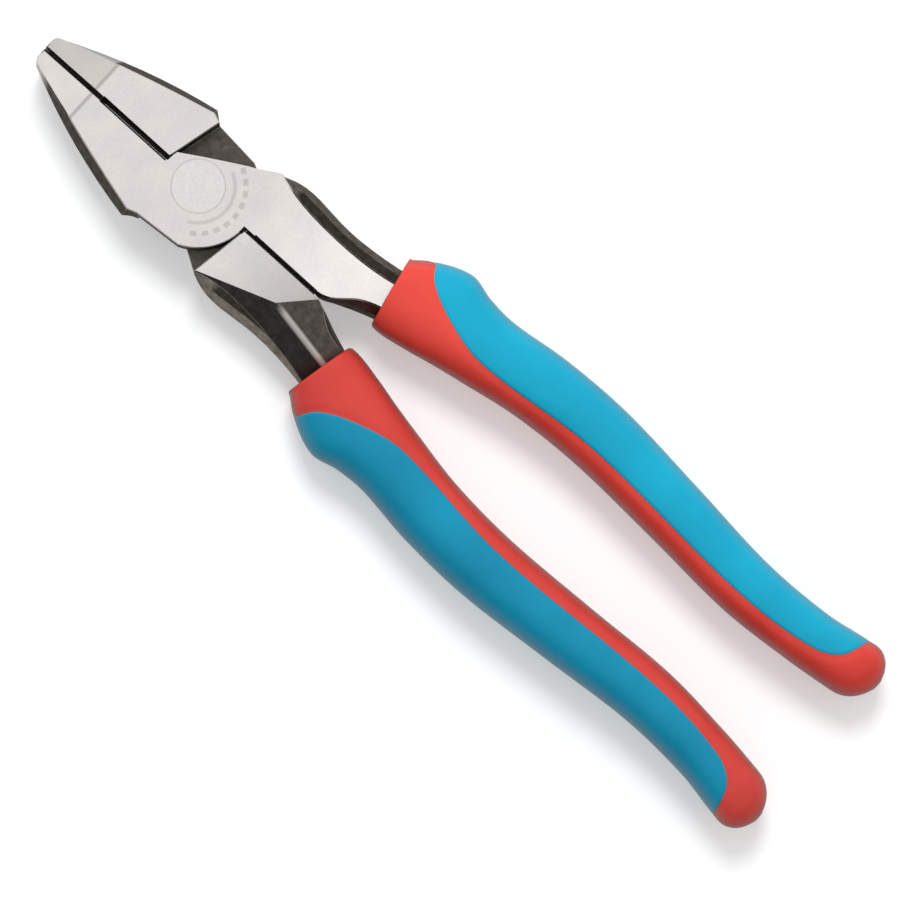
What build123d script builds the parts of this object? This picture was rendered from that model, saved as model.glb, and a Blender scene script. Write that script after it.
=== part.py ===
from build123d import *

import os
from math import atan2, cos, degrees, pi, radians, sin, tan

# Lineman's pliers of the 9.5 in class, closed, lying with the joint flat. Millimetres.
# Origin: the pivot axis on the ground back face of the joint. +Y points to the nose and
# +Z out of the front face. The two forgings are one shape: the rear one is the front one
# turned half a turn about the tool's long axis.

# --- joint
JOINT_THICKNESS = 15.5
MID = JOINT_THICKNESS / 2
LAP_CLEARANCE = 0.1  # between the two half laps
HUB_RADIUS = 14.3  # round lower edge of the half lap
HUB_SIDE_X = 13.2  # where its straight side meets the round edge
THROAT_RADIUS = 9.2  # corner of the half lap that passes under the other jaw
CHEEK = ((2.5, 8.6), (6.8, 2.0), (11.2, -5.5))  # relieved edge of the half lap, top to neck
RIVET_RADIUS = 4.8
RIVET_HEAD_RADIUS = 6.3
RIVET_HEAD_DEPTH = 1.9
RIVET_CLEARANCE = 0.05
EDGE_BREAK = 0.25  # round the outlines of the ground faces
BEYOND = 80.0  # longer than anything a cutting block goes through

# --- jaws
NOSE_Y = 47.8
NOSE_HALF_WIDTH = 3.9
NOSE_CORNER_RADIUS = 1.9
NOSE_BEVEL_Y = 32.5  # the ground nose facet starts here
NOSE_TIP_THICKNESS = 10.0
JAW_SIDE = (11.4, 29.0)  # middle of the jaw's outer side
HEEL = (16.5, 9.1)
NOTCH = (14.15, 6.2)  # between the heel and the straight side of the half lap
SHOULDER_Y = 9.65  # jaw shoulder at the slot
JAW_DRAFT = (0.5, 1.95, 1.5)  # inset of the ground face at nose, side and heel
JAW_GAP = 0.12  # between the gripping faces, closed
JAW_EDGE_BEVEL = 0.6
SLOT_EDGE_ZONE = 2.0  # edges this close to the long axis belong to the slot
KNIFE_GAP = 0.08
KNIFE_SPAN = (9.6, 30.0)  # along Y
KNIFE_PROFILE = ((0.62, 0.8), (0.7, 2.6), (0.85, MID))  # depth from the slot, height from MID
TOOTH_PITCH = 1.25
TOOTH_DEPTH = 0.45
TOOTH_SPAN = (31.6, 46.9)
TOOTH_HALF_HEIGHT = 4.2
TOOTH_OVERCUT = 0.1

# --- tangs and the bars inside the grips
TANG_GAP = 0.6  # slot between the tangs
TANG_SLOT_Y = -36.5  # lower end of that slot
TANG_SHOULDER_Y = -14.75  # at the slot
TANG_CORNER = (15.2, -12.4)  # outer end of the shoulder, where the half lap joins
TANG_END_Y = -53.0
TANG_EDGE_BEVEL = 0.35
# height of each level of the tang's draft, as a share from mid thickness to the face, then
# x of the inner side at TANG_INNER_Y and of the outer side at TANG_OUTER_Y
TANG_LEVELS = (
    (0.0, (2.9, 5.9), (18.9, 16.9, 16.4, 17.0)),
    (0.58, (3.7, 6.5), (17.1, 15.2, 14.7, 15.5)),
    (1.0, (5.2, 8.6), (14.9, 12.75, 12.4, 13.6)),
)
TANG_INNER_Y = (-44.5, TANG_END_Y)
TANG_OUTER_Y = (TANG_END_Y, -42.0, -30.0, -18.0)
RELIEF_START = (7.9, -31.3)  # outer end of the line where the recess side drops away
RELIEF_DIRECTION = -47  # heading of its fall in plan, degrees from +X
RELIEF_SLOPE = 14
RELIEF_LENGTH = 34
RIDGE_DIRECTION = -80.5  # plan heading of the ridge between the relief and the outer bevel
OUTER_BEVEL_SLOPE = 21.5
# bar inside the grip: y, centre x, half width, half thickness
BAR_STATIONS = (
    (-51.5, 11.6, 5.0, 3.8),
    (-66.0, 15.9, 5.8, 5.2),
    (-85.0, 18.4, 5.2, 5.4),
    (-108.0, 20.1, 5.0, 5.4),
    (-135.0, 18.1, 4.6, 5.0),
    (-158.0, 16.9, 4.3, 4.6),
    (-176.0, 17.9, 3.8, 4.2),
)

# --- grips: y, inner x, outer x, half thickness
GRIP_STATIONS = (
    (-45.5, 5.0, 19.3, 9.0),
    (-52.0, 3.4, 24.4, 9.3),
    (-60.5, 4.7, 27.9, 9.6),
    (-67.5, 6.3, 26.6, 9.7),
    (-75.0, 7.8, 26.2, 9.8),
    (-90.0, 10.5, 28.0, 9.9),
    (-108.0, 11.6, 28.5, 10.0),
    (-132.0, 10.8, 26.6, 9.8),
    (-156.0, 9.7, 24.5, 9.4),
    (-174.0, 11.0, 25.1, 9.2),
    (-184.5, 12.3, 26.9, 9.0),
    (-188.6, 13.1, 27.4, 8.0),
    (-191.2, 14.8, 26.3, 6.4),
    (-192.9, 17.1, 24.3, 4.4),
    (-193.7, 19.0, 22.4, 2.2),
)
SECTION_POWER = 2.4  # superellipse exponent of the grip's section
QUARTER_POINTS = 5
ROWS_PER_STATION = 3
COLLAR_EDGE = ((20.4, -47.2), (5.0, -50.4))  # slanted top edge of the collar
OVERLAY_THICKNESS = 2.0
# front edge of the overlay, from the collar to the flared end
OVERLAY_EDGE = (
    (25.5, -51.5),
    (20.2, -55.2),
    (15.7, -64.5),
    (13.4, -76.0),
    (16.1, -108.0),
    (14.3, -154.0),
    (15.9, -174.0),
    (19.9, -182.5),
    (29.5, -186.2),
)
OVERLAY_REACH = 34.0  # past the widest grip


def mirrored(points):
    """The same outline on the other side of the long axis."""
    return [(-x, y) for x, y in points]


def at_height(face, height):
    return Pos(0, 0, height) * face


def both_faces(upper):
    """A shape from mid thickness up, joined to its reflection below."""
    return upper + mirror(upper, about=Plane.XY.offset(MID))


def jaw_section(share):
    """Plan of the left jaw; share is 0 at mid thickness and 1 at the face."""
    nose, side, heel = (share * inset for inset in JAW_DRAFT)
    slot = KNIFE_GAP / 2
    throat = (slot, SHOULDER_Y)
    tip = (slot, NOSE_Y)
    corner = (NOSE_HALF_WIDTH - nose, NOSE_Y)
    middle = (JAW_SIDE[0] - side, JAW_SIDE[1])
    heel_point = (HEEL[0] - heel, HEEL[1] - heel / 3)
    points = mirrored((throat, tip, corner, middle, heel_point, NOTCH))
    outline = Polyline(*points[:3])
    outline += ThreePointArc(*points[2:5])
    outline += Polyline(points[4], points[5], points[0])
    face = make_face(outline)
    nose_corner = face.vertices().sort_by_distance((*points[2], 0))[0]
    return fillet(nose_corner, NOSE_CORNER_RADIUS)


def jaw():
    """Left jaw: drafted sides, ground nose facets, knife flanks and gripping teeth."""
    lower = at_height(jaw_section(0), MID)
    upper = at_height(jaw_section(1), JOINT_THICKNESS)
    body = both_faces(loft([lower, upper], ruled=True))

    fall = degrees(atan2((JOINT_THICKNESS - NOSE_TIP_THICKNESS) / 2, NOSE_Y - NOSE_BEVEL_Y))
    facet = Plane((0, NOSE_BEVEL_Y, JOINT_THICKNESS)) * Rot(X=-fall)
    facet_cut = facet * Box(BEYOND, BEYOND, MID, align=(Align.CENTER, Align.MIN, Align.MIN))
    body -= facet_cut
    body -= mirror(facet_cut, about=Plane.XY.offset(MID))

    grip_x = -JAW_GAP / 2
    knife_end = KNIFE_SPAN[1]
    body -= Pos(grip_x, knife_end, 0) * Box(
        BEYOND, BEYOND, BEYOND, align=(Align.MIN, Align.MIN, Align.CENTER)
    )
    slot_edges = [
        edge
        for edge in body.edges()
        if abs(edge.center().X - grip_x) < 0.01
        and edge.length > 1
        and abs(edge.center().Z - MID) > NOSE_TIP_THICKNESS / 2 - 0.1
    ]
    body = chamfer(slot_edges, JAW_EDGE_BEVEL)
    body -= knife_cut() + teeth_cut()
    return body


def knife_cut():
    """What is ground away in front of and behind the left knife edge."""
    edge = (-KNIFE_GAP / 2, MID)
    flank = [(-depth, MID + rise) for depth, rise in KNIFE_PROFILE]
    top = JOINT_THICKNESS + 1
    outline = Polyline(edge, *flank, (flank[-1][0], top), (1, top), (1, MID), close=True)
    start, end = KNIFE_SPAN
    section = Plane.XZ.offset(-start) * make_face(outline)
    front = extrude(section, -(end - start))
    return front + mirror(front, about=Plane.XY.offset(MID))


def teeth_cut():
    """Cross grooves of the left gripping face."""
    start, end = TOOTH_SPAN
    grip_x = -JAW_GAP / 2
    notches = []
    for i in range(int((end - start) / TOOTH_PITCH)):
        y = start + i * TOOTH_PITCH
        notch = Polyline(
            (grip_x + TOOTH_OVERCUT, y),
            (grip_x - TOOTH_DEPTH, y + TOOTH_PITCH / 2),
            (grip_x + TOOTH_OVERCUT, y + TOOTH_PITCH),
            close=True,
        )
        prism = extrude(make_face(notch), 2 * TOOTH_HALF_HEIGHT)
        notches.append(Pos(0, 0, MID - TOOTH_HALF_HEIGHT) * prism)
    return Part() + notches


def hub():
    """Front half lap, from the jaw's notch round to the tang."""
    slot = TANG_GAP / 2
    throat = (-slot, (THROAT_RADIUS**2 - slot**2) ** 0.5)
    throat_angle = atan2(CHEEK[0][1], CHEEK[0][0])
    cheek_top = (THROAT_RADIUS * cos(throat_angle), THROAT_RADIUS * sin(throat_angle))
    mid_angle = (throat_angle + pi / 2) / 2
    throat_mid = (THROAT_RADIUS * cos(mid_angle), THROAT_RADIUS * sin(mid_angle))
    side_end = (-HUB_SIDE_X, -((HUB_RADIUS**2 - HUB_SIDE_X**2) ** 0.5))
    arc_end = (slot, -((HUB_RADIUS**2 - slot**2) ** 0.5))
    arc_mid = (-HUB_RADIUS * sin(radians(40)), -HUB_RADIUS * cos(radians(40)))

    slot_top = (-slot, KNIFE_SPAN[0])
    outline = Line(slot_top, throat)
    outline += ThreePointArc(throat, throat_mid, cheek_top)
    outline += ThreePointArc(cheek_top, CHEEK[1], CHEEK[2])
    outline += Spline(CHEEK[2], TANG_CORNER, tangents=[(0.45, -1), (0.6, -1)])
    outline += Polyline(TANG_CORNER, (slot, TANG_CORNER[1] - 5), arc_end)
    outline += ThreePointArc(arc_end, arc_mid, side_end)
    inside_jaw = (2 - NOTCH[0], NOTCH[1] + 2)
    outline += Polyline(side_end, (-NOTCH[0], NOTCH[1]), inside_jaw, slot_top)
    base = MID + LAP_CLEARANCE / 2
    return at_height(extrude(make_face(outline), JOINT_THICKNESS - base), base)


def tang_section(share, inner_x, outer_x):
    """Plan of the right tang at one level of its draft, at that level's height."""
    slot = TANG_GAP / 2
    inner = [(slot, TANG_SLOT_Y), *zip(inner_x, TANG_INNER_Y)]
    outer = [*zip(outer_x, TANG_OUTER_Y), TANG_CORNER]
    outline = Polyline(TANG_CORNER, (slot, TANG_SHOULDER_Y), inner[0])
    outline += Spline(*inner, tangents=[(0.1, -1), (0.35, -1)])
    outline += Line(inner[-1], outer[0])
    outline += Spline(*outer)
    return at_height(make_face(outline), MID + share * MID)


def tang():
    """Right tang down to the collar: ground faces, drafted sides, relieved recess side."""
    sections = [tang_section(*level) for level in TANG_LEVELS]
    body = both_faces(loft(sections, ruled=True))
    bevel_side = TANG_EDGE_BEVEL * 2**0.5
    edge_bar = Rot(Y=45) * Box(bevel_side, -2 * TANG_SLOT_Y, bevel_side)
    body -= Pos(TANG_GAP / 2, 0, JOINT_THICKNESS) * edge_bar
    body -= Pos(TANG_GAP / 2, 0, 0) * edge_bar

    heading, ridge = radians(RELIEF_DIRECTION), radians(RIDGE_DIRECTION)
    slope = radians(RELIEF_SLOPE)
    downhill = Vector(cos(heading) * cos(slope), sin(heading) * cos(slope), sin(slope))
    across = Vector(-sin(heading), cos(heading), 0)
    relief = Plane((*RELIEF_START, 0), x_dir=downhill, z_dir=downhill.cross(across))
    cutter = Box(RELIEF_LENGTH, BEYOND, BEYOND, align=(Align.MIN, Align.CENTER, Align.MAX))
    body -= relief * cutter

    along_ridge = Vector(cos(ridge), sin(ridge), cos(ridge - heading) * tan(slope))
    outwards = Vector(1, 0, tan(radians(OUTER_BEVEL_SLOPE)))
    bevel = Plane((*RELIEF_START, 0), x_dir=outwards, z_dir=along_ridge.cross(outwards))
    body -= bevel * Box(BEYOND, BEYOND, BEYOND, align=(Align.CENTER, Align.CENTER, Align.MAX))
    return body


def bar():
    """Forged bar inside the right grip."""
    sections = []
    for y, x, half_width, half_thickness in BAR_STATIONS:
        plane = Plane((x, y, MID), x_dir=(1, 0, 0), z_dir=(0, -1, 0))
        sections.append(plane * Ellipse(half_width, half_thickness))
    return loft(sections)


def rivet(clearance=0.0):
    """Pivot rivet with countersunk heads, flush with both ground faces."""
    radius = RIVET_RADIUS + clearance
    head = RIVET_HEAD_RADIUS + clearance
    shank = Cylinder(radius, JOINT_THICKNESS, align=(Align.CENTER, Align.CENTER, Align.MIN))
    cone = Cone(radius, head, RIVET_HEAD_DEPTH, align=(Align.CENTER, Align.CENTER, Align.MIN))
    front_cone = Pos(0, 0, JOINT_THICKNESS - RIVET_HEAD_DEPTH) * cone
    return shank + front_cone + mirror(front_cone, about=Plane.XY.offset(MID))


def outline_edges(forging):
    """Long edges round the ground faces and nose facets; not the slot's, cheek's or relief's."""
    found = []
    for edge in forging.edges():
        middle = edge.center()
        ground = min(abs(middle.Z), abs(middle.Z - JOINT_THICKNESS)) < 0.01
        ground = ground and middle.Y < NOSE_BEVEL_Y - 1
        off_nose = abs(middle.Z - MID) > NOSE_TIP_THICKNESS / 2 - 0.1
        nose = middle.Y > NOSE_BEVEL_Y + 1 and off_nose
        in_slot = abs(middle.X) < SLOT_EDGE_ZONE
        in_cheek = middle.X > 0 and middle.Y > TANG_CORNER[1]
        in_relief = middle.X > 0 and middle.Y < TANG_SHOULDER_Y and middle.Z < MID
        left_out = in_slot or in_cheek or in_relief
        if edge.length > 2 and (ground or nose) and not left_out:
            found.append(edge)
    return found


def half_forging(rivet_hole):
    """Jaw, half lap, tang and bar as one forging, with the hole for the rivet."""
    forging = jaw() + hub() + tang()
    forging = chamfer(outline_edges(forging), EDGE_BREAK)
    return forging + bar() - rivet_hole


def grip_section(y, inner, outer, half_thickness):
    """Superellipse across the right handle at one station, in four equal quarters."""
    x, half_width = (inner + outer) / 2, (outer - inner) / 2
    signs = ((1, 1), (-1, 1), (-1, -1), (1, -1))
    quarters = []
    for i, (side, face) in enumerate(signs):
        points = []
        for j in range(QUARTER_POINTS + 1):
            angle = pi / 2 * (j if i % 2 == 0 else QUARTER_POINTS - j) / QUARTER_POINTS
            across = side * half_width * cos(angle) ** (2 / SECTION_POWER)
            up = face * half_thickness * sin(angle) ** (2 / SECTION_POWER)
            points.append((x + across, y, MID + up))
        upwards, inwards = (0, 0, face), (-side, 0, 0)
        if i % 2:
            upwards, inwards = (side, 0, 0), (0, 0, -face)
        quarters.append(Edge.make_spline(points, tangents=[upwards, inwards]))
    return Face(Wire(quarters))


def grip_rows():
    """The grip's stations with rows added between them on smooth curves."""
    rows = GRIP_STATIONS
    dense = []
    for i in range(len(rows) - 1):
        nearby = [rows[min(max(k, 0), len(rows) - 1)] for k in (i - 1, i, i + 1, i + 2)]
        before, start, end, after = nearby
        span = end[0] - start[0]
        for j in range(ROWS_PER_STATION):
            share = j / ROWS_PER_STATION
            row = [start[0] + span * share]
            for column in (1, 2, 3):
                leave = (end[column] - before[column]) / (end[0] - before[0]) * span
                arrive = (after[column] - start[column]) / (after[0] - start[0]) * span
                row.append(
                    (1 + 2 * share) * (1 - share) ** 2 * start[column]
                    + share**2 * (3 - 2 * share) * end[column]
                    + share * (1 - share) ** 2 * leave
                    - share**2 * (1 - share) * arrive
                )
            dense.append(row)
    return dense + [rows[-1]]


def grip_solid(inset=0.0):
    """The right grip's outer shape, or the same shape a little smaller all round."""
    sections = [
        grip_section(y, inner + inset, outer - inset, half - inset)
        for y, inner, outer, half in grip_rows()
        if half > 2 * inset
    ]
    return loft(sections, ruled=True)


def collar_cut():
    """Everything above the collar's slanted top edge."""
    (outer_x, outer_y), (inner_x, inner_y) = COLLAR_EDGE
    tilt = degrees(atan2(outer_y - inner_y, outer_x - inner_x))
    edge = Plane((inner_x, inner_y, MID)) * Rot(Z=tilt)
    return edge * Box(BEYOND, BEYOND, BEYOND, align=(Align.CENTER, Align.MIN, Align.CENTER))


def overlay_region():
    """Plan area outboard of the overlay's edge, through the whole thickness."""
    start, end = OVERLAY_EDGE[0], OVERLAY_EDGE[-1]
    outline = Spline(*OVERLAY_EDGE)
    outline += Polyline(end, (OVERLAY_REACH, end[1]), (OVERLAY_REACH, start[1]), start)
    prism = extrude(make_face(outline), BEYOND)
    return Pos(0, 0, MID - BEYOND / 2) * prism


def grip_parts(forging):
    """Red base and blue overlay of the right grip."""
    whole = grip_solid() - collar_cut()
    overlay = (whole & overlay_region()) - grip_solid(OVERLAY_THICKNESS)
    base = whole - overlay - forging
    return base, overlay


def turned_over(shape):
    """The same piece on the other half: half a turn about the long axis."""
    return Pos(0, 0, JOINT_THICKNESS) * Rot(Y=180) * shape


def write(name, shape):
    solids = shape.solids()
    shape = solids[0] if len(solids) == 1 else Compound(solids)
    shape.label = name
    export_step(shape, f"parts/{name}.step")
    print(f"{name}: {len(solids)} solid, {shape.volume / 1000:.2f} cm3")


os.makedirs("parts", exist_ok=True)
front_forging = half_forging(rivet(RIVET_CLEARANCE))
rear_forging = turned_over(half_forging(rivet()))
grip_base, grip_overlay = grip_parts(front_forging)

write("front_half", front_forging)
write("rear_half", rear_forging)
write("pivot_rivet", rivet())
write("front_grip_base", grip_base)
write("front_grip_overlay", grip_overlay)
write("rear_grip_base", turned_over(grip_base))
write("rear_grip_overlay", turned_over(grip_overlay))
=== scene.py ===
from math import cos, pi, radians, sin

import bmesh
import bpy
import numpy as np
from mathutils import Matrix, Vector


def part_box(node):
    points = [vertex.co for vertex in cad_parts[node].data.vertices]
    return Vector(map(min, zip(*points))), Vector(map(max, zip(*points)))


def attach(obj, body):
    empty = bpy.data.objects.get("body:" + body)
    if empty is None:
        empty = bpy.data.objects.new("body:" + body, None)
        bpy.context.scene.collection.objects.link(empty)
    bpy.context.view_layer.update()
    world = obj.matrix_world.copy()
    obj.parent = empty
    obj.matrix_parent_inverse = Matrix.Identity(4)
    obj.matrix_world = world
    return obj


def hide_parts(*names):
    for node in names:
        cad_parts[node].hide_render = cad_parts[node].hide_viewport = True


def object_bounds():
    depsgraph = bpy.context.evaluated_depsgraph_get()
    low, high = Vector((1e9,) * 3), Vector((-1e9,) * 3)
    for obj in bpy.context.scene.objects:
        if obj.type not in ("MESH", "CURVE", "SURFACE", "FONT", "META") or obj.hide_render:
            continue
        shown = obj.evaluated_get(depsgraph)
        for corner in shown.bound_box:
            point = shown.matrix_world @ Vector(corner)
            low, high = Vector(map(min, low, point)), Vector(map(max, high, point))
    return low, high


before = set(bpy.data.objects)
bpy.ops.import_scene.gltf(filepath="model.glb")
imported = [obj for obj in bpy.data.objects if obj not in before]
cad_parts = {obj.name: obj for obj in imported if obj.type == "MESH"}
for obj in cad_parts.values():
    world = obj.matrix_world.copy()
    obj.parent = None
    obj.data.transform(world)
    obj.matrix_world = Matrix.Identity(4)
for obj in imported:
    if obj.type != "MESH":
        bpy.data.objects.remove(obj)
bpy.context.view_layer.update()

# Looks of the lineman's pliers. Lengths are millimetres until they become Blender points.
MM = 0.001
MID = (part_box("pivot_rivet")[0].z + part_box("pivot_rivet")[1].z) / 2 / MM
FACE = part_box("pivot_rivet")[1].z / MM  # height of the ground front face

# --- grips: y, inner x, outer x, half thickness
GRIP_STATIONS = np.array((
    (-45.5, 5.0, 19.3, 9.0),
    (-52.0, 3.4, 24.4, 9.3),
    (-60.5, 4.7, 27.9, 9.6),
    (-67.5, 6.3, 26.6, 9.7),
    (-75.0, 7.8, 26.2, 9.8),
    (-90.0, 10.5, 28.0, 9.9),
    (-108.0, 11.6, 28.5, 10.0),
    (-132.0, 10.8, 26.6, 9.8),
    (-156.0, 9.7, 24.5, 9.4),
    (-174.0, 11.0, 25.1, 9.2),
    (-184.5, 12.3, 26.9, 9.0),
    (-188.6, 13.1, 27.4, 8.0),
    (-191.2, 14.8, 26.3, 6.4),
    (-192.9, 17.1, 24.3, 4.4),
    (-193.7, 19.0, 22.4, 2.2),
))
SECTION_POWER = 2.4
# edge of the overlay on the front face: y, x
OVERLAY_EDGE = np.array((
    (-51.5, 25.5),
    (-55.2, 20.2),
    (-64.5, 15.7),
    (-76.0, 13.4),
    (-108.0, 16.1),
    (-154.0, 14.3),
    (-174.0, 15.9),
    (-182.5, 19.9),
    (-186.2, 29.5),
))
COLLAR_Y = -48.8  # end of the collar, on the middle of the handle
COLLAR_X = 12.7
COLLAR_SLANT = 0.208
COLLAR_FADE = 16.0  # length over which the slant dies out
COLLAR_STEPS = (0.0, 0.08, 0.2, 0.35, 0.5, 0.65, 0.8, 0.9, 0.96)  # rings, middle to rim
RIM_RADIUS = 0.8
RIM_DISH = 0.5
RIM_BENDS = (75, 60, 45, 30, 15)  # degrees, from the end face to the side
TIP_Y = GRIP_STATIONS[-1, 0]
CAP_DEPTH = 0.22  # of the last rounding at the tip
CAP_BENDS = (25, 50, 75, 90)  # degrees, from the side to the middle of the tip
ROUND = 96  # points round the handle
# rows of the base along the handle: first y, last y, how many
BASE_ROWS = ((COLLAR_Y - RIM_RADIUS, -70.0, 48), (-71.0, -178.0, 130), (-178.6, TIP_Y, 44))
SEAM_DIP = 0.22  # the base sinks this much towards the overlay's edge
DIP_SPAN = (-2.0, -0.2)  # where it does so; distances are negative outside the overlay
SINK_SPAN = (1.0, 2.8)  # where the base drops to the overlay's underside
OVERLAY_DEPTH = 1.6
OVERLAY_ROWS = 340
OVERLAY_COLUMNS = 22  # from the lip to the outer side
EDGE_SAMPLES = 500  # points along the overlay's edge that distances are measured to
SCAN_SAMPLES = 6000  # for finding the overlay's two ends
ARC_SAMPLES = 60  # for measuring lengths round the handle
LIP_RADIUS = 0.7
LIP_DROP = 0.45
LIP_STEPS = np.array((0.0, 0.08, 0.18, 0.3, 0.45, 0.65, 0.9, 1.3))
LIP_ROOM = 3.0  # rows narrower than this get a narrower lip
MERGE_DISTANCE = 0.004

# --- steel: where each finish is. A pair of numbers is the two ends of a mask's fade.
NOSE_BEVEL_Y = 32.5
THROAT_Y = (9.7, 9.9)  # the jaws' inner faces start here
FACE_UPRIGHT = (0.974, 0.979)  # size of normal z on the ground faces and nose facets
FACE_HEIGHT = (4.3, 4.5)  # from mid thickness
BREAK_UPRIGHT = (0.6, 0.65)  # size of normal z on the edge breaks, at least
BREAK_END = (0.82, 0.86)  # the same, at most
BREAK_HEIGHT = (MID - 0.27, MID - 0.22)
SIDE_UPRIGHT = (0.48, 0.53)  # size of normal z on the drafted sides, at most
SLANT_UPRIGHT = (0.94, 0.955)  # the same on the slanted flanks
OFF_SLOT = (1.3, 1.5)  # distance from the long axis, outside the slot's walls
IN_SLOT = (1.0, 1.1)  # and on them
SLOT_SIDEWAYS = (0.55, 0.6)  # size of normal x on the knives and teeth
SLOT_HEIGHT = (4.6, 4.8)  # from mid thickness
TANG_Y = (-14.0, -10.0)  # where the drafted sides pass from the jaw's painted light to the tang's
FACET_SHADE_HALF_WIDTH = (0.15, 0.6)  # half width of the painted shade line where a nose facet begins
FACET_SHADE_STRENGTH = 0.75
RIDGE_START = (7.9, -31.3)  # painted highlight along the ridge on the front half's recess side; the rear's is turned over
RIDGE_DIRECTION = radians(-80.5)
RIDGE_HALF_WIDTH = (0.35, 0.95)
RIDGE_RISE = (-3.5, -0.5)  # along Y from its start, where the streak dies out
WEAR_RADIUS = 0.45

# --- etched marks: plain bars and a line round the pivot
MARK_SECTOR = (1.12, 1.14)  # half angle, radians from the handles' side
BAR_RADIUS = 11.0
BAR_HALF_LENGTH = (0.5, 0.65)
BAR_WAVES = 25.0
BAR_GAP = (-0.35, -0.05)  # of the wave between two bars
LINE_RADIUS = 8.5
LINE_HALF_WIDTH = (0.25, 0.6)
LINE_STRENGTH = 0.8  # beside the bars
MARK_STRENGTH = 0.45

# --- colours
WHITE = (1.0, 1.0, 1.0)
BRIGHT_COOL = (0.72, 0.69, 0.68)
BRIGHT_WARM = (0.78, 0.735, 0.70)
SPECKLE_DIM = (0.86, 0.86, 0.87)
# grey of the etched marks and of the painted shade line where the nose facets begin
ETCH_AND_SHADE_GREY = (0.36, 0.34, 0.33)
DARK_LOW = (0.062, 0.054, 0.047)
DARK_HIGH = (0.160, 0.143, 0.128)
SLANTED_PAINTED_SHADE = 0.45  # painted shade that makes the slanted flanks the blackest part of the forged steel
WORN_STEEL = (0.40, 0.37, 0.34)
# colour of the painted highlight along the ridge
RIDGE_HIGHLIGHT_STEEL = (0.64, 0.60, 0.57)
MACHINED_STEEL = (0.42, 0.41, 0.40)
STEEL_TINT = (0.35, 0.34, 0.33, 1.0)  # at grazing angles
RIVET_LOW = (0.66, 0.635, 0.62)
RIVET_HIGH = (0.77, 0.735, 0.71)
RIVET_RIM = (0.62, 0.60, 0.58)
# grip colours, deep and light; the rear handle's are darkened as painted shade
FRONT_RED = ((0.49, 0.036, 0.026), (0.58, 0.050, 0.036))
REAR_RED_SHADED = ((0.42, 0.034, 0.026), (0.50, 0.046, 0.036))
FRONT_BLUE = ((0.0, 0.24, 0.37), (0.0, 0.29, 0.44))
REAR_BLUE_SHADED = ((0.0, 0.17, 0.28), (0.0, 0.21, 0.34))
RED_PAINTED_OUTLINE_SHADE, BLUE_PAINTED_OUTLINE_SHADE = 0.4, 0.65  # share of the grips' colours left at their outline, as painted shade
FLOOR_COLOURS = ((0.52, 0.53, 0.53), (0.56, 0.57, 0.57))
FLOOR_GLOW = 0.35
FLOOR_HALF_SIZE = 3.0  # metres

# --- camera and light
FRAME_WIDTH = 208.6
AIM = (-6.0, -83.8)
HEADING = -47.74  # the camera's right-hand side, degrees from +X
DISTANCE = 1200.0
LEAN = 3.0  # the camera stands this many degrees off the vertical, over the rear half's side
SENSOR_WIDTH = 36.0
WORLD_SIDE = (-0.9, 0.9, 0.06, 0.96)  # brightness from the far side to the key's side
WORLD_TOP = (0.3, 1.0, 0.0, 0.6)  # added towards the top
KEY_SIDE = (0.737, 0.676, 0.0)
KEY_TILT = radians(32)  # off the vertical
KEY_SIZE, KEY_POWER, KEY_DISTANCE = 0.55, 18.0, 1.6  # metres, watts, metres


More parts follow.
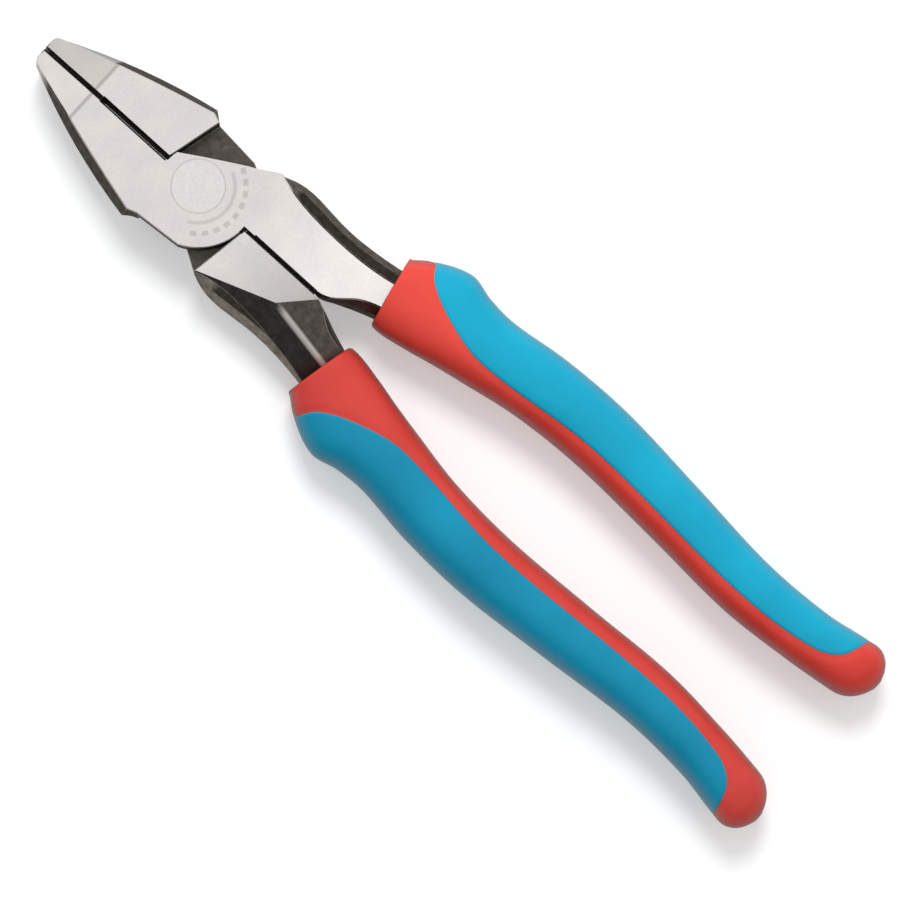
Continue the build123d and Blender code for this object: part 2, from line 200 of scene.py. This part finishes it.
# ---------------------------------------------------------------- node helpers
class Nodes:
    """Builds one material: each method adds a node and returns its output socket."""

    def __init__(self, name):
        self.material = bpy.data.materials.new(name)
        self.material.use_nodes = True
        self.tree = self.material.node_tree
        self.tree.nodes.clear()
        coords = self.add("ShaderNodeTexCoord")
        scaled = self.add("ShaderNodeVectorMath", {0: coords.outputs["Object"]}, operation="SCALE")
        scaled.inputs["Scale"].default_value = 1 / MM
        self.place = scaled.outputs[0]  # millimetres
        self.x, self.y, self.z = self.split(self.place)
        self.normal = self.split(coords.outputs["Normal"])

    def add(self, kind, inputs=None, **settings):
        node = self.tree.nodes.new(kind)
        for key, value in settings.items():
            setattr(node, key, value)
        for key, value in (inputs or {}).items():
            if isinstance(value, bpy.types.NodeSocket):
                self.tree.links.new(value, node.inputs[key])
            else:
                node.inputs[key].default_value = value
        return node

    def split(self, vector):
        return self.add("ShaderNodeSeparateXYZ", {0: vector}).outputs[:]

    def math(self, operation, *values):
        node = self.add("ShaderNodeMath", dict(enumerate(values)), operation=operation)
        return node.outputs[0]

    def stretched(self, x, y, z):
        """Position with each axis scaled."""
        scale = {0: self.place, 1: (x, y, z)}
        return self.add("ShaderNodeVectorMath", scale, operation="MULTIPLY").outputs[0]

    def noise(self, scale, vector=None, detail=2.0, roughness=0.5):
        inputs = {
            "Vector": vector or self.place,
            "Scale": scale,
            "Detail": detail,
            "Roughness": roughness,
        }
        return self.add("ShaderNodeTexNoise", inputs).outputs[0]

    def ramp(self, value, start, end, low=0.0, high=1.0):
        """low below start, high above end, a straight line between."""
        inputs = {0: value, 1: start, 2: end, 3: low, 4: high}
        return self.add("ShaderNodeMapRange", inputs).outputs[0]

    def below(self, value, start, end):
        """1 below start, 0 above end."""
        return self.ramp(value, start, end, 1.0, 0.0)

    def all_of(self, mask, *others):
        """1 where all the masks are 1."""
        for other in others:
            mask = self.math("MULTIPLY", mask, other)
        return mask

    def blend(self, factor, first, second):
        """Colour between first and second."""
        node = self.add("ShaderNodeMix", data_type="RGBA")
        for index, value in ((0, factor), (6, first), (7, second)):
            socket = node.inputs[index]
            if isinstance(value, bpy.types.NodeSocket):
                self.tree.links.new(value, socket)
            else:
                socket.default_value = value if isinstance(value, float) else (*value, 1.0)
        return node.outputs[2]

    def multiply(self, first, second):
        """Product of two colours."""
        node = self.add("ShaderNodeMix", {0: 1.0}, data_type="RGBA", blend_type="MULTIPLY")
        self.tree.links.new(first, node.inputs[6])
        self.tree.links.new(second, node.inputs[7])
        return node.outputs[2]

    def tinted(self, colour, mask, tint):
        """The colour times the tint where the mask is 1."""
        return self.multiply(colour, self.blend(mask, WHITE, tint))

    def bump(self, height, strength, distance):
        inputs = {"Height": height, "Strength": strength, "Distance": distance * MM}
        return self.add("ShaderNodeBump", inputs).outputs[0]

    def shade(self, inputs):
        shader = self.add("ShaderNodeBsdfPrincipled", inputs)
        self.add("ShaderNodeOutputMaterial", {0: shader.outputs[0]})
        return self.material


# ---------------------------------------------------------------- materials
def grey(share):
    return (share,) * 3


def distance_from_pivot(n):
    squares = n.math("ADD", n.math("POWER", n.x, 2.0), n.math("POWER", n.y, 2.0))
    return n.math("SQRT", squares)


def band(n, value, middle, half_width):
    """1 where the value is near the middle, 0 past the second half width."""
    return n.below(n.math("ABSOLUTE", n.math("SUBTRACT", value, middle)), *half_width)


def etched_marks(n):
    """Plain graduation bars and a thin ring segment round the pivot, on the front face only."""
    radius = distance_from_pivot(n)
    angle = n.math("ARCTAN2", n.x, n.math("MULTIPLY", n.y, -1.0))  # 0 towards the handles
    sector = n.below(n.math("ABSOLUTE", angle), *MARK_SECTOR)
    wave = n.math("SINE", n.math("MULTIPLY", angle, BAR_WAVES))
    bars = n.all_of(band(n, radius, BAR_RADIUS, BAR_HALF_LENGTH), n.ramp(wave, *BAR_GAP))
    line = n.math("MULTIPLY", band(n, radius, LINE_RADIUS, LINE_HALF_WIDTH), LINE_STRENGTH)
    on_front = n.ramp(n.z, FACE - 1.0, FACE - 0.9)
    return n.all_of(n.math("MAXIMUM", bars, line), sector, on_front)


def worn_edges(n, radius):
    """1 along sharp edges, 0 on the faces between them."""
    rounded = n.add("ShaderNodeBevel", {"Radius": radius * MM}, samples=4).outputs[0]
    true = n.add("ShaderNodeNewGeometry").outputs["Normal"]
    match = n.add("ShaderNodeVectorMath", {0: rounded, 1: true}, operation="DOT_PRODUCT")
    return n.below(match.outputs["Value"], 0.93, 0.99)


def ridge_highlight(n, hand):
    """Painted highlight along the ridge of the recess side. hand is 1 on the front half, -1 on the
    rear.
    """
    x = n.math("SUBTRACT", n.math("MULTIPLY", n.x, hand), RIDGE_START[0])
    y = n.math("SUBTRACT", n.y, RIDGE_START[1])
    share_x = n.math("MULTIPLY", x, sin(RIDGE_DIRECTION))
    share_y = n.math("MULTIPLY", y, cos(RIDGE_DIRECTION))
    across = n.math("ABSOLUTE", n.math("SUBTRACT", share_x, share_y))
    streak = n.below(across, *RIDGE_HALF_WIDTH)
    from_mid = n.math("MULTIPLY", n.math("SUBTRACT", n.z, MID), hand)
    return n.all_of(streak, n.below(y, *RIDGE_RISE), n.below(from_mid, -1.0, -0.5))


def steel_places(n, nose_side):
    """Masks of the ground faces, the machined slot, the drafted sides and the slanted flanks."""
    upright = n.math("ABSOLUTE", n.normal[2])
    height = n.math("ABSOLUTE", n.math("SUBTRACT", n.z, MID))
    beside = n.math("ABSOLUTE", n.x)
    off_slot = n.ramp(beside, *OFF_SLOT)
    side = n.below(upright, *SIDE_UPRIGHT)

    flat = n.all_of(n.ramp(upright, *FACE_UPRIGHT), n.ramp(height, *FACE_HEIGHT))
    edge_break = n.all_of(n.ramp(upright, *BREAK_UPRIGHT), n.below(upright, *BREAK_END))
    rim = n.all_of(edge_break, n.ramp(height, *BREAK_HEIGHT), off_slot)
    nose = n.all_of(n.math("MAXIMUM", side, edge_break), off_slot, n.ramp(n.y, *nose_side))
    ground = n.math("MAXIMUM", n.math("MAXIMUM", flat, rim), nose)

    sideways = n.ramp(n.math("ABSOLUTE", n.normal[0]), *SLOT_SIDEWAYS)
    in_slot = n.all_of(n.below(beside, *IN_SLOT), n.ramp(n.y, *THROAT_Y))
    machined = n.all_of(sideways, in_slot, n.below(height, *SLOT_HEIGHT))
    slanted = n.all_of(n.math("SUBTRACT", 1.0, side), n.below(upright, *SLANT_UPRIGHT))
    return ground, machined, side, slanted


def ground_colour(n, speckle, hand, facet, tang_painted_light):
    """Bright steel of the ground faces, with the facet's tint, a painted shade line along the
    facet's edge, painted light and shade towards the tang, and the etched marks.
    """
    cloud = n.noise(0.13, detail=3.0)
    bright = n.blend(n.ramp(cloud, 0.35, 0.65), BRIGHT_COOL, BRIGHT_WARM)
    bright = n.multiply(bright, n.blend(n.ramp(speckle, 0.3, 0.7), SPECKLE_DIM, WHITE))
    bright = n.tinted(bright, n.ramp(n.y, NOSE_BEVEL_Y, NOSE_BEVEL_Y + 0.05), facet)
    # painted light and shade on the ground face towards the tang
    span, shade = tang_painted_light
    bright = n.tinted(bright, n.ramp(n.y, *span), grey(shade))
    # painted shade line where the nose facet begins
    edge = n.math("MULTIPLY", band(n, n.y, NOSE_BEVEL_Y, FACET_SHADE_HALF_WIDTH), FACET_SHADE_STRENGTH)
    bright = n.blend(edge, bright, ETCH_AND_SHADE_GREY)
    if hand > 0:
        bright = n.blend(n.math("MULTIPLY", etched_marks(n), MARK_STRENGTH), bright, ETCH_AND_SHADE_GREY)
    return bright


def forged_colour(n, scale, hand, side, slanted, side_painted_light):
    """Black forged skin, worn at its edges, with painted light on its drafted sides, painted shade
    on its slanted flanks and a painted highlight along the ridge.
    """
    on_jaw, on_tang = side_painted_light
    dark = n.blend(n.ramp(scale, 0.3, 0.75), DARK_LOW, DARK_HIGH)
    # painted light on the drafted sides, set apart for the jaw and the tang
    sides = n.blend(n.below(n.y, *TANG_Y), grey(on_jaw), grey(on_tang))
    dark = n.tinted(dark, side, sides)
    # painted shade on the slanted flanks
    dark = n.tinted(dark, slanted, grey(SLANTED_PAINTED_SHADE))
    wear = n.all_of(worn_edges(n, WEAR_RADIUS), n.ramp(scale, 0.35, 0.6, 0.35, 0.85))
    dark = n.blend(wear, dark, WORN_STEEL)
    # painted highlight along the ridge
    return n.blend(n.math("MULTIPLY", ridge_highlight(n, hand), 0.95), dark, RIDGE_HIGHLIGHT_STEEL)


def forged_steel(name, hand, facet, nose_side, tang_painted_light, side_painted_light):
    """Black forged sides, bright ground faces and nose facets, machined knives and teeth.

    hand is 1 on the front half and -1 on the rear. facet tints the nose facet. nose_side is
    where along Y the nose's sides turn bright. The tang's argument is a span along Y and the
    brightness painted on the ground face at its end: painted light above 1, painted shade below 1.
    The sides' argument is the painted light on the drafted sides, on the jaw and tang.
    """
    n = Nodes(name)
    ground, machined, side, slanted = steel_places(n, nose_side)
    speckle = n.noise(1.7, detail=5.0, roughness=0.65)
    strokes = n.noise(1.0, n.stretched(5.0, 0.22, 5.0), detail=3.0)
    scale = n.noise(0.55, detail=6.0, roughness=0.7)

    dark = forged_colour(n, scale, hand, side, slanted, side_painted_light)
    colour = n.blend(n.math("MULTIPLY", machined, 0.8), dark, MACHINED_STEEL)
    colour = n.blend(ground, colour, ground_colour(n, speckle, hand, facet, tang_painted_light))

    not_ground = n.math("SUBTRACT", 1.0, ground)
    rough = n.ramp(speckle, 0.3, 0.7, 0.36, 0.46)
    rough = n.math("ADD", rough, n.math("MULTIPLY", not_ground, 0.04))
    fine = n.math("ADD", strokes, n.math("MULTIPLY", speckle, 0.6))
    on_ground = n.math("MULTIPLY", fine, n.math("MULTIPLY", ground, 0.35))
    relief = n.math("ADD", on_ground, n.math("MULTIPLY", scale, not_ground))
    return n.shade({
        "Base Color": colour,
        "Metallic": 1.0,
        "Specular Tint": STEEL_TINT,
        "Roughness": rough,
        "Normal": n.bump(relief, 0.5, 0.06),
    })


def rivet_steel():
    """Turned face: fine rings round the pivot axis, darker at the edge of the head."""
    n = Nodes("rivet_steel")
    radius = distance_from_pivot(n)
    inputs = {"W": radius, "Scale": 5.0, "Detail": 3.0}
    rings = n.add("ShaderNodeTexNoise", inputs, noise_dimensions="1D").outputs[0]
    speckle = n.noise(1.7, detail=5.0, roughness=0.65)
    colour = n.blend(n.ramp(speckle, 0.3, 0.7), RIVET_LOW, RIVET_HIGH)
    colour = n.blend(n.ramp(radius, 5.95, 6.25), colour, RIVET_RIM)
    return n.shade({
        "Base Color": colour,
        "Metallic": 1.0,
        "Roughness": n.ramp(rings, 0.3, 0.7, 0.34, 0.46),
        "Normal": n.bump(rings, 0.3, 0.03),
    })


def moulded_plastic(name, colours, roughness, grain, outline_painted_shade):
    """Soft-touch moulding: slow colour drift, fine grain, low ripples, and painted shade at its
    outline.
    """
    n = Nodes(name)
    drift = n.noise(0.045, detail=3.0)
    fine = n.noise(grain, detail=3.0, roughness=0.6)
    ripple = n.noise(0.25, n.stretched(1.0, 0.4, 1.0), detail=1.0)
    relief = n.math("ADD", n.math("MULTIPLY", fine, 0.5), ripple)
    # painted shade at the outline, where the surface turns away
    turned_away = n.add("ShaderNodeLayerWeight", {0: 0.5}).outputs["Facing"]
    colour = n.blend(n.ramp(drift, 0.3, 0.7), *colours)
    return n.shade({
        "Base Color": n.tinted(colour, n.ramp(turned_away, 0.4, 0.9), grey(outline_painted_shade)),
        "Roughness": n.ramp(fine, 0.3, 0.7, roughness - 0.05, roughness + 0.05),
        "Specular IOR Level": 0.22,
        "Normal": n.bump(relief, 0.35, 0.12),
    })


# ---------------------------------------------------------------- grip shapes
def on_curves(rows, y):
    """The columns after the first, at each y, on cubic curves through the rows."""
    y = np.clip(y, rows[-1, 0], rows[0, 0])
    i = np.clip(np.searchsorted(-rows[:, 0], -y, side="right") - 1, 0, len(rows) - 2)
    before, start, end = rows[np.maximum(i - 1, 0)], rows[i], rows[i + 1]
    after = rows[np.minimum(i + 2, len(rows) - 1)]
    span = (end - start)[..., :1]
    share = (y - start[..., 0])[..., None] / span
    leave = (end - before)[..., 1:] / (end - before)[..., :1] * span
    arrive = (after - start)[..., 1:] / (after - start)[..., :1] * span
    values = (
        (1 + 2 * share) * (1 - share) ** 2 * start[..., 1:]
        + share**2 * (3 - 2 * share) * end[..., 1:]
        + share * (1 - share) ** 2 * leave
        - share**2 * (1 - share) * arrive
    )
    return np.moveaxis(values, -1, 0)


def section(y):
    """Centre x, half width and half thickness of the handle."""
    inner, outer, half = on_curves(GRIP_STATIONS, y)
    return (inner + outer) / 2, (outer - inner) / 2, half


def skin(y, angle, offset):
    """Points on the handle's surface, moved out by offset. Angle 0 is the outer side."""
    centre, width, half = section(y)
    across, up = np.abs(np.cos(angle)) / width, np.abs(np.sin(angle)) / half
    radius = (across**SECTION_POWER + up**SECTION_POWER) ** (-1 / SECTION_POWER) + offset
    x = centre + radius * np.cos(angle)
    return np.stack((x, y + 0 * x, MID + radius * np.sin(angle)), -1)


def edge_angle(y):
    """Angle from the outer side to the overlay's edge; 0 where there is no overlay."""
    centre, width, half = section(y)
    shift = on_curves(OVERLAY_EDGE, y)[0] - centre
    share = np.clip(shift / width, -1, 1)
    rise = half * (1 - np.abs(share) ** SECTION_POWER) ** (1 / SECTION_POWER)
    return np.where(share < 1, np.arctan2(rise, shift), 0)


def smooth(value, start, end):
    share = np.clip((value - start) / (end - start), 0, 1)
    return share * share * (3 - 2 * share)


def overlay_rows(count):
    """Heights of the overlay's rows, closer together towards its two ends."""
    scan = np.linspace(OVERLAY_EDGE[0, 0], OVERLAY_EDGE[-1, 0], SCAN_SAMPLES)
    covered = scan[edge_angle(scan) > 0]
    share = (1 - np.cos(np.linspace(0, pi, count))) / 2
    return covered[0] + (covered[-1] - covered[0]) * share


def edge_points():
    """The overlay's edge as points on the handle, on the front and on the back."""
    y = overlay_rows(EDGE_SAMPLES)
    angle = edge_angle(y)
    return np.concatenate((skin(y, angle, 0), skin(y, -angle, 0)))


def edge_distance(points):
    """Distance of each point from the overlay's edge."""
    edge = edge_points()
    flat = points.reshape(-1, 3)
    nearest = [
        np.sqrt(((block[:, None] - edge[None]) ** 2).sum(-1)).min(1)
        for block in np.array_split(flat, 40)
    ]
    return np.concatenate(nearest).reshape(points.shape[:-1])


def base_offset(y, angle):
    """The base dips to the overlay's edge and makes room for the overlay past it."""
    distance = edge_distance(skin(y, angle, 0))
    turn = np.abs((angle + pi) % (2 * pi) - pi)
    inside = np.where(turn < edge_angle(y), distance, -distance)
    return -SEAM_DIP * smooth(inside, *DIP_SPAN) - OVERLAY_DEPTH * smooth(inside, *SINK_SPAN)


def base_points():
    """Rings of the base, from the middle of the collar's end to the tip of the handle."""
    angle = np.linspace(0, 2 * pi, ROUND, endpoint=False)
    body = np.concatenate([np.linspace(*rows) for rows in BASE_ROWS])
    nominal = body[:, None] + 0 * angle
    y = nominal
    for _ in range(3):
        slant = COLLAR_SLANT * (skin(y, angle + 0 * y, 0)[..., 0] - COLLAR_X)
        y = nominal + slant * smooth(nominal, COLLAR_Y - COLLAR_FADE, COLLAR_Y)
    turn = angle + 0 * y
    rings = skin(y, turn, base_offset(y, turn))

    first = rings[0]
    centre = first.mean(0)
    reach = np.linalg.norm((first - centre)[:, [0, 2]], axis=1)[:, None]
    collar = []
    for step in COLLAR_STEPS:
        ring = centre + (first - centre) * step
        ring[:, 1] += RIM_RADIUS - RIM_DISH * (1 - step**2)
        collar.append(ring)
    for bend in np.radians(RIM_BENDS):
        ring = centre + (first - centre) * (1 - RIM_RADIUS * (1 - cos(bend)) / reach)
        ring[:, 1] += RIM_RADIUS * sin(bend)
        collar.append(ring)

    last = rings[-1]
    end = last.mean(0)
    cap = []
    for bend in np.radians(CAP_BENDS):
        ring = end + (last - end) * cos(bend)
        ring[:, 1] -= CAP_DEPTH * sin(bend)
        cap.append(ring)
    return np.concatenate((np.array(collar), rings, np.array(cap)))


def overlay_points():
    """Outer and inner skins of the overlay, in rows from its front edge round to its back edge."""
    rows = overlay_rows(OVERLAY_ROWS)
    grid = []
    for y in rows:
        turn = np.linspace(0, edge_angle(np.array(y)), ARC_SAMPLES)
        path = skin(np.full(ARC_SAMPLES, y), turn, 0)
        length = np.concatenate(([0], np.linalg.norm(np.diff(path, axis=0), axis=1).cumsum()))
        lip = length[-1] - LIP_STEPS * min(1, length[-1] / LIP_ROOM)
        place = np.concatenate((lip, np.linspace(lip[-1], 0, OVERLAY_COLUMNS)[1:]))
        half = np.interp(place, length, turn)
        grid.append(np.concatenate((half, -half[-2::-1])))
    angle = np.array(grid)
    y = rows[:, None] + 0 * angle
    distance = edge_distance(skin(y, angle, 0))
    share = np.clip(distance / LIP_RADIUS, 0, 1)
    drop = LIP_DROP * (1 - np.sqrt(1 - (1 - share) ** 2))
    return skin(y, angle, -drop), skin(y, angle, -OVERLAY_DEPTH)


def ring_faces(rings, count):
    """Quads between neighbouring rings of count points."""
    faces = []
    for i in range(rings - 1):
        for j in range(count):
            k = (j + 1) % count
            faces.append((i * count + j, i * count + k, (i + 1) * count + k, (i + 1) * count + j))
    return faces


def shell_faces(rows, columns):
    """Outer and inner grids of a thin shell, joined round the border."""
    inner = rows * columns
    faces = []
    for i in range(rows - 1):
        for j in range(columns - 1):
            a = i * columns + j
            quad = (a, a + 1, a + columns + 1, a + columns)
            faces += [quad, tuple(inner + k for k in reversed(quad))]
    border = list(range(columns))
    border += [i * columns + columns - 1 for i in range(1, rows)]
    border += [(rows - 1) * columns + j for j in range(columns - 2, -1, -1)]
    border += [i * columns for i in range(rows - 2, 0, -1)]
    for a, b in zip(border, border[1:] + border[:1]):
        faces.append((b, a, inner + a, inner + b))
    return faces


def turned_over(points):
    """The same shape on the other handle: half a turn about the tool's long axis."""
    return points * (-1, 1, -1) + (0, 0, 2 * MID)


def piece(name, points, faces, material):
    """A smooth closed mesh from points in millimetres."""
    mesh = bpy.data.meshes.new(name)
    mesh.from_pydata((points.reshape(-1, 3) * MM).tolist(), [], faces)
    shape = bmesh.new()
    shape.from_mesh(mesh)
    bmesh.ops.remove_doubles(shape, verts=shape.verts, dist=MERGE_DISTANCE * MM)
    bmesh.ops.dissolve_degenerate(shape, edges=shape.edges, dist=MERGE_DISTANCE / 2 * MM)
    bmesh.ops.recalc_face_normals(shape, faces=shape.faces)
    shape.to_mesh(mesh)
    shape.free()
    mesh.shade_smooth()
    mesh.materials.append(material)
    made = bpy.data.objects.new(name, mesh)
    bpy.context.scene.collection.objects.link(made)
    return made


# ---------------------------------------------------------------- the object
def dress_metal():
    """Steel finishes for the CAD solids that are shown as they are."""
    finishes = {
        "front_half": forged_steel(
            "front_forging_steel", 1.0, facet=(1.0, 0.99, 0.98), nose_side=(41.0, 45.0),
            tang_painted_light=((-12.0, -34.0), 1.22), side_painted_light=(1.0, 1.4),
        ),
        "rear_half": forged_steel(
            "rear_forging_steel", -1.0, facet=(0.82, 0.81, 0.80), nose_side=(32.5, 33.5),
            tang_painted_light=((-16.0, -37.0), 0.70), side_painted_light=(1.0, 2.0),
        ),
        "pivot_rivet": rivet_steel(),
    }
    for node, material in finishes.items():
        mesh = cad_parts[node].data
        mesh.materials.clear()
        mesh.materials.append(material)


def make_grips():
    """Both handles' mouldings, in place of their CAD solids."""
    # the rear handle's mouldings are darker, as painted shade
    reds = {
        "front": moulded_plastic("front_grip_red", FRONT_RED, 0.42, 1.6, RED_PAINTED_OUTLINE_SHADE),
        "rear": moulded_plastic("rear_grip_red_shaded", REAR_RED_SHADED, 0.42, 1.6, RED_PAINTED_OUTLINE_SHADE),
    }
    blues = {
        "front": moulded_plastic("front_grip_blue", FRONT_BLUE, 0.40, 2.2, BLUE_PAINTED_OUTLINE_SHADE),
        "rear": moulded_plastic("rear_grip_blue_shaded", REAR_BLUE_SHADED, 0.40, 2.2, BLUE_PAINTED_OUTLINE_SHADE),
    }
    base = base_points()
    base_faces = ring_faces(len(base), ROUND)
    outer, inner = overlay_points()
    overlay = np.concatenate((outer, inner))
    overlay_faces = shell_faces(*outer.shape[:2])
    for body, place in (("front", lambda points: points), ("rear", turned_over)):
        parts = (
            ("grip_base", base, base_faces, reds[body], "grip_red"),
            ("grip_overlay", overlay, overlay_faces, blues[body], "grip_blue"),
        )
        for part, points, faces, material, slot in parts:
            made = piece(f"{body}_{part}_moulding", place(points), faces, material)
            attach(made, body)
            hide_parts(f"{body}_{part}")


# ---------------------------------------------------------------- floor, light, camera
def make_floor():
    """Plain pale floor under the lowest point of the object."""
    n = Nodes("pale_floor")
    drift = n.noise(0.01, detail=2.0)
    material = n.shade({
        "Base Color": n.blend(drift, *FLOOR_COLOURS),
        "Emission Color": (*WHITE, 1.0),
        "Emission Strength": FLOOR_GLOW,
        "Roughness": 0.9,
        "Specular IOR Level": 0.1,
    })
    size, z = FLOOR_HALF_SIZE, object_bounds()[0].z
    corners = [(x * size, y * size, z) for x, y in ((-1, -1), (1, -1), (1, 1), (-1, 1))]
    mesh = bpy.data.meshes.new("floor")
    mesh.from_pydata(corners, [], [(0, 1, 2, 3)])
    mesh.materials.append(material)
    floor = bpy.data.objects.new("floor", mesh)
    bpy.context.scene.collection.objects.link(floor)


def make_light():
    """A world that brightens towards the key's side and the top, and a large soft key."""
    world = bpy.data.worlds.new("studio")
    world.use_nodes = True
    tree = world.node_tree
    direction = tree.nodes.new("ShaderNodeTexCoord").outputs["Generated"]
    towards_key = tree.nodes.new("ShaderNodeVectorMath")
    towards_key.operation = "DOT_PRODUCT"
    towards_key.inputs[1].default_value = KEY_SIDE
    side = tree.nodes.new("ShaderNodeMapRange")
    split = tree.nodes.new("ShaderNodeSeparateXYZ")
    top = tree.nodes.new("ShaderNodeMapRange")
    total = tree.nodes.new("ShaderNodeMath")
    for node, limits in ((side, WORLD_SIDE), (top, WORLD_TOP)):
        for socket, value in zip(node.inputs[1:5], limits):
            socket.default_value = value
    background = tree.nodes["Background"]
    background.inputs[0].default_value = (*WHITE, 1.0)
    tree.links.new(direction, towards_key.inputs[0])
    tree.links.new(direction, split.inputs[0])
    tree.links.new(towards_key.outputs["Value"], side.inputs[0])
    tree.links.new(split.outputs[2], top.inputs[0])
    tree.links.new(side.outputs[0], total.inputs[0])
    tree.links.new(top.outputs[0], total.inputs[1])
    tree.links.new(total.outputs[0], background.inputs[1])
    bpy.context.scene.world = world

    data = bpy.data.lights.new("key", "AREA")
    data.shape, data.size, data.energy = "DISK", KEY_SIZE, KEY_POWER
    key = bpy.data.objects.new("key", data)
    aim = Vector((AIM[0], AIM[1], MID)) * MM
    direction = Vector(KEY_SIDE) * sin(KEY_TILT) + Vector((0, 0, cos(KEY_TILT)))
    key.location = aim + direction * KEY_DISTANCE
    key.visible_glossy = False
    key.rotation_mode = "QUATERNION"
    key.rotation_quaternion = direction.to_track_quat("Z", "Y")
    bpy.context.scene.collection.objects.link(key)


def make_camera():
    """Looks down at the front face, leaning a little about the tool's long axis."""
    data = bpy.data.cameras.new("camera")
    data.sensor_width = SENSOR_WIDTH
    data.lens = SENSOR_WIDTH * DISTANCE / FRAME_WIDTH
    data.clip_start, data.clip_end = 0.05, 20.0
    camera = bpy.data.objects.new("camera", data)
    lean = Matrix.Rotation(radians(-LEAN), 4, "Y")
    aim = Matrix.Translation(Vector((AIM[0], AIM[1], FACE)) * MM)
    stand = Matrix.Translation((0, 0, (DISTANCE + MID - FACE) * MM))
    camera.matrix_world = aim @ lean @ stand @ Matrix.Rotation(radians(HEADING), 4, "Z")
    bpy.context.scene.collection.objects.link(camera)
    bpy.context.scene.camera = camera


dress_metal()
make_grips()
make_floor()
make_light()
make_camera()
bpy.context.scene.view_settings.view_transform = "Standard"
